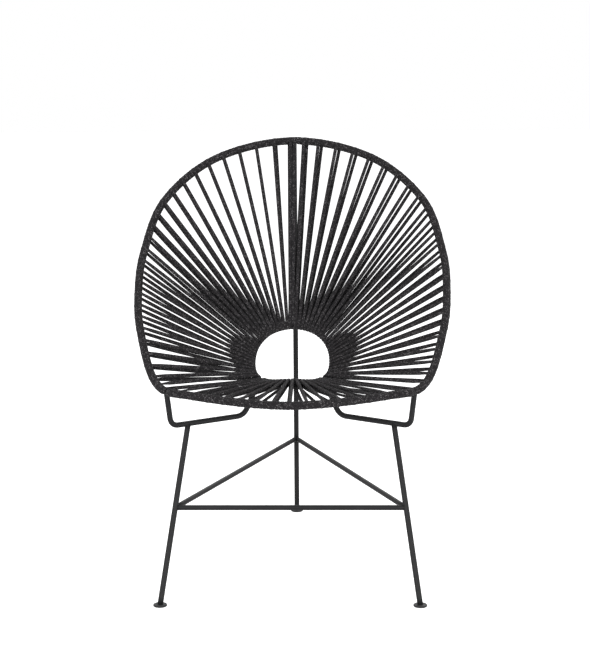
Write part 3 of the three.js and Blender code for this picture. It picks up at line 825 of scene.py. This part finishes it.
def back_loops(scene, curves):
    """The back's loops: up from the left bracket, the cords down the middle, and down to the
    right bracket."""
    cord, loops, count = scene.chair_cord, scene.chair_loops, scene.chair_cord.bank_loops
    bracket = curves[0].length_to(loops.hoop_bracket)
    left = -eased_lengths(cord.first_left, bracket - cord.last_left, count, cord.top_pitch,
                          cord.left_eased)[::-1]
    right = np.append(cord.first_right, eased_lengths(
        cord.second_right, bracket - cord.last_right, count - 1, cord.top_pitch,
        cord.right_eased))
    spine = cord.spine_offset + np.array((-1, 1)) * cord.spine_spacing / 2
    left_lags = np.interp(
        np.arange(count), (cord.paired_loops - 1, cord.paired_loops + 1, count - 2, count - 1),
        (cord.low_left_lag, cord.left_lag, cord.left_lag, cord.top_left_lag))
    ring_end = curves[1].length_to(loops.ring_bracket) - cord.ring_weld
    ring_left = -grown_lengths(cord.left_ring_start, ring_end, count, cord.ring_growth)[::-1]
    ring_right = grown_lengths(cord.right_ring_start, ring_end, count, cord.ring_growth)
    ring_spine = np.linspace(ring_left[-1], ring_right[0], len(spine) + 2)[1:-1]
    return np.concatenate((
        loop_shares(curves, left, left + left_lags, ring_left,
                    np.linspace(cord.left_ring_lag, cord.top_ring_lag, count)),
        loop_shares(curves, spine, (cord.left_spine_back, cord.right_spine_back), ring_spine,
                    cord.top_ring_lag),
        loop_shares(curves, right, right + cord.right_lag, ring_right,
                    np.linspace(cord.top_ring_lag, cord.right_ring_lag, count))))


def seat_loops(scene, curves):
    """The seat's loops, from the right bracket over the hoop's front to the left bracket."""
    (hoop, ring), cord, loops = curves, scene.chair_cord, scene.chair_loops
    hoop_round, ring_round, count = hoop.length_to(1), ring.length_to(1), cord.seat_loops
    bracket = hoop.length_to(loops.hoop_bracket)
    inset = (hoop_round / 2 - bracket) / count
    room = ring.length_to(loops.ring_bracket) + cord.ring_weld + cord.ring_lean
    places = np.linspace(bracket + inset, hoop_round - bracket - inset - cord.seat_lag, count)
    ring_places = np.linspace(room, ring_round - room - cord.seat_ring_lag, count)
    return loop_shares(curves, places, places + cord.seat_lag, ring_places, cord.seat_ring_lag)


TURN_STEPS = 12
STRAND_STEPS = 14
MOVED_PART = 0.75
PRESSING_POWER = 0.5


def rod_turn(frames_of, curves, starts, ends, other_starts, other_ends, first_angle, rod):
    """Half turns of the cord round a rod, one for each loop. The angle round the rod goes
    evenly from the first angle on by half a turn, while the place moves from start to end
    over the first part of the turn. The cord is thickest where it leaves the rod, and
    pressed in between."""
    part = np.linspace(0, 1, TURN_STEPS + 1)
    move = smooth(part / MOVED_PART)
    shares = starts[:, None] + (ends - starts)[:, None] * move
    other_shares = other_starts[:, None] + (other_ends - other_starts)[:, None] * move
    frames = frames_of(curves, shares, other_shares)
    radial = frames.radial(np.broadcast_to(first_angle + part * HALF_TURN, shares.shape))
    pressed = np.sin(part * HALF_TURN)**PRESSING_POWER
    thickness = rod["thickness"] + (rod["pressed"] - rod["thickness"]) * pressed
    centres = frames.centre + radial * (rod["radius"] + thickness / 2)[:, None]
    return centres, frames.along * rod["width"] / 2, radial * thickness[:, None] / 2


def strand(hoop_end, ring_end, cord, free_size, falling):
    """A taut strand between its sections on the hoop and on the ring. It runs straight, with
    its places closest together near the rods. Its half width and half thickness go from the
    hoop's to the free cord's over the rounding length, and from that to the ring's over the
    crowding length."""
    step = np.arange(1, STRAND_STEPS + 1) / (STRAND_STEPS + 1)
    part = (1 - np.cos(step * HALF_TURN)) / 2
    if not falling:
        part = part[::-1]
    (hoop_centre, *hoop_halves), (ring_centre, *ring_halves) = hoop_end, ring_end
    run = np.linalg.norm(ring_centre - hoop_centre, axis=-1)[:, None]
    rounded = smooth(part * run / cord.round_length)[..., None]
    freed = smooth((1 - part) * run / cord.crowding_length)[..., None]
    made = [hoop_centre[:, None] + (ring_centre - hoop_centre)[:, None] * part[:, None]]
    for at_hoop, at_ring, free in zip(hoop_halves, ring_halves, free_size):
        direction = unit(at_hoop[:, None] + (at_ring - at_hoop)[:, None] * part[:, None])
        hoop_size, ring_size = (np.linalg.norm(half, axis=-1)[:, None, None]
                                for half in (at_hoop, at_ring))
        size = hoop_size + (free / 2 - hoop_size) * rounded
        made.append(direction * (ring_size + (size - ring_size) * freed))
    return made


def smooth(value):
    """Zero up to one, level at both ends: three times the square, less twice the cube."""
    part = np.clip(value, 0, 1)
    return part * part * (3 - 2 * part)


def strung_cord(scene, curves, name, loops, following, thickness):
    """One winding: for each loop up the front of the bucket, half a turn over the hoop, down
    behind, and half a turn round the ring to the next loop."""
    cord, steel = scene.chair_cord, scene.chair_steel
    wound = steel.frame_radius + cord.winding_gap + cord.winding_thickness
    at_hoop = {"radius": wound + cord.proud - cord.flat_thickness, "width": cord.flat_width,
               "thickness": cord.flat_thickness, "pressed": cord.flat_thickness}
    at_ring = {"radius": steel.frame_radius, "width": cord.crowded_width,
               "thickness": cord.crowded_thickness, "pressed": cord.hole_thickness}
    hoop_front, hoop_back, ring_front, ring_back = loops.T
    next_hoop, next_ring = (np.append(values[1:], last) for values, last in
                            ((hoop_front, following[0]), (ring_front, following[2])))
    over = rod_turn(hoop_frames, curves, hoop_front, hoop_back, ring_front, ring_back, 0, at_hoop)
    under = rod_turn(ring_frames, curves, ring_back, next_ring, hoop_back, next_hoop, HALF_TURN,
                     at_ring)
    before = rod_turn(ring_frames, curves, ring_front[:1], ring_front[:1], hoop_front[:1],
                      hoop_front[:1], HALF_TURN, at_ring)
    starts = [np.concatenate((first[:, -1], turn[:-1, -1])) for first, turn in zip(before, under)]
    free_size = (cord.width, thickness)
    rising = strand([turn[:, 0] for turn in over], starts, cord, free_size, falling=False)
    falling = strand([turn[:, -1] for turn in over], [turn[:, 0] for turn in under], cord,
                     free_size, falling=True)
    centres, across, through = (
        np.concatenate((first.reshape(-1, 3),
                        np.concatenate(parts, axis=1).reshape(-1, 3)))
        for first, *parts in zip(before, rising, over, falling, under))
    return swept_mesh(name, cord_grid(centres, across, through))


class CHAIR_OT_strung_cord(bpy.types.Operator):
    """String the cord to and fro between the hoop and the ring"""
    bl_idname = "chair.strung_cord"
    bl_label = "Strung Cord"

    def execute(self, context):
        scene = context.scene
        curves = chair_curves(scene)
        backs, seat = back_loops(scene, curves), seat_loops(scene, curves)
        cord, count = scene.chair_cord, len(backs)
        side, middle = (cord.bank_loops + 1) // 2, count // 2
        cuts = {"side_left": (0, side), "back_left": (side, middle),
                "back_right": (middle, count - side), "side_right": (count - side, count)}
        for name, (start, end) in cuts.items():
            following = backs[min(end, count - 1)]
            self.add_winding(scene, curves, name, backs[start:end], following, cord.thickness)
        self.add_winding(scene, curves, "seat", seat, seat[-1], cord.seat_thickness)
        return {"FINISHED"}

    def add_winding(self, scene, curves, name, loops, following, thickness):
        mesh = strung_cord(scene, curves, f"cord_{name}", loops, following, thickness)
        add_piece(scene, f"strung_cord_{name}", mesh, "cord", f"cord_{name}")


# Stage

SENSOR_WIDTH = 36
SOFTBOXES = {
    "key_softbox": ((-1.7, -3.0, 1.9), 50),
    "fill_softbox": ((2.2, -2.6, 1.2), 44),
    "back_softbox": ((0.4, 2.4, 2.2), 24),
}
SOFTBOX_SIZE = 1.8
CHAIR_MIDDLE = (0, 0, 0.45)
FLOOR_REACH = 12
FLOOR_ROUGHNESS = 0.9
FLOOR_GLOW = 0.75
SIDE_LIGHT = 0.92
TOP_LIGHT = 0.3
SEEN_LIGHT = 1


class CHAIR_OT_stage(bpy.types.Operator):
    """Add the camera, the floor and the soft studio light"""
    bl_idname = "chair.stage"
    bl_label = "Stage"

    def execute(self, context):
        scene = context.scene
        scene.view_settings.view_transform = "Standard"
        add_camera(scene)
        add_floor(scene)
        add_world(scene)
        for name, (place, power) in SOFTBOXES.items():
            add_lamp(scene, name, Vector(place), power)
        return {"FINISHED"}


def add_camera(scene):
    view = scene.chair_view
    camera = bpy.data.cameras.new("camera")
    camera.sensor_fit = "HORIZONTAL"
    camera.sensor_width = SENSOR_WIDTH
    camera.lens = view.focal
    made = bpy.data.objects.new("camera", camera)
    made.matrix_world = (
        Matrix.Translation((view.across, view.back, view.height))
        @ Matrix.Rotation(view.turn, 4, "Z")
        @ Matrix.Rotation(QUARTER_TURN - view.tilt, 4, "X")
        @ Matrix.Rotation(view.roll, 4, "Z"))
    scene.collection.objects.link(made)
    scene.camera = made


def add_lamp(scene, name, place, power):
    """A square soft lamp that faces the middle of the chair."""
    lamp = bpy.data.lights.new(name, "AREA")
    lamp.size = SOFTBOX_SIZE
    lamp.energy = power
    made = bpy.data.objects.new(name, lamp)
    away = place - Vector(CHAIR_MIDDLE)
    facing = away.to_track_quat("Z", "Y").to_matrix().to_4x4()
    made.matrix_world = Matrix.Translation(place) @ facing
    scene.collection.objects.link(made)


def add_floor(scene):
    """Plain pale floor, which the camera sees as white wherever no shadow falls on it."""
    corners = np.array(((-1, -1, 0), (1, -1, 0), (1, 1, 0), (-1, 1, 0)), float) * FLOOR_REACH
    mesh = filled_mesh("floor", corners, np.array(((0, 1, 2, 3),)), [], corners[:, :2])
    floor = bpy.data.objects.new("floor", mesh)
    scene.collection.objects.link(floor)
    paint = bpy.data.materials.new("floor_paint")
    nodes = NodeTree(paint)
    seen = nodes.node("ShaderNodeLightPath").outputs["Is Camera Ray"]
    nodes.shade({"Base Color": scene.chair_colours.floor, "Roughness": FLOOR_ROUGHNESS,
                 "Emission Color": WHITE,
                 "Emission Strength": nodes.math("MULTIPLY", seen, FLOOR_GLOW)})
    mesh.materials.append(paint)


def add_world(scene):
    """White behind the chair and in reflections, and a soft grey for the light itself, which
    is weaker from above than from the sides."""
    scene.world = bpy.data.worlds.new("studio")
    nodes = NodeTree(scene.world)
    ray = nodes.node("ShaderNodeLightPath").outputs
    seen = nodes.math("MAXIMUM", ray["Is Camera Ray"], ray["Is Glossy Ray"])
    seen = nodes.math("MAXIMUM", seen, ray["Is Transmission Ray"])
    place = nodes.node("ShaderNodeTexCoord").outputs["Generated"]
    up = nodes.node("ShaderNodeSeparateXYZ", {"Vector": place}).outputs["Z"]
    soft = nodes.ramp(up, WHOLE, (SIDE_LIGHT, TOP_LIGHT))
    nodes.shade({"Color": WHITE, "Strength": nodes.ramp(seen, WHOLE, (soft, SEEN_LIGHT))})


class CHAIR_PT_panel(bpy.types.Panel):
    """Sizes, colours and steps of the chair"""
    bl_idname = "CHAIR_PT_panel"
    bl_label = "Acapulco Chair"
    bl_space_type = "VIEW_3D"
    bl_region_type = "UI"
    bl_category = "Chair"

    def draw(self, context):
        for step in STEPS:
            self.layout.operator(step.bl_idname)
        for key in SIZE_GROUPS:
            box = self.layout.box()
            group = getattr(context.scene, key)
            for name in group.__annotations__:
                box.prop(group, name)


SIZE_GROUPS = {"chair_loops": ChairLoopSizes, "chair_steel": ChairSteelSizes,
               "chair_cord": ChairCordSizes, "chair_colours": ChairColours,
               "chair_view": ChairView}
STEPS = (CHAIR_OT_stage, CHAIR_OT_loops, CHAIR_OT_legs, CHAIR_OT_feet, CHAIR_OT_hoop_winding,
         CHAIR_OT_strung_cord)
CLASSES = (*SIZE_GROUPS.values(), *STEPS, CHAIR_PT_panel)


def register():
    for made in CLASSES:
        bpy.utils.register_class(made)
    for key, group in SIZE_GROUPS.items():
        setattr(bpy.types.Scene, key, PointerProperty(type=group))


def unregister():
    for key in SIZE_GROUPS:
        delattr(bpy.types.Scene, key)
    for made in reversed(CLASSES):
        bpy.utils.unregister_class(made)


def main():
    register()
    for step in STEPS:
        area, name = step.bl_idname.split(".")
        getattr(getattr(bpy.ops, area), name)()


if __name__ == "__main__":
    main()
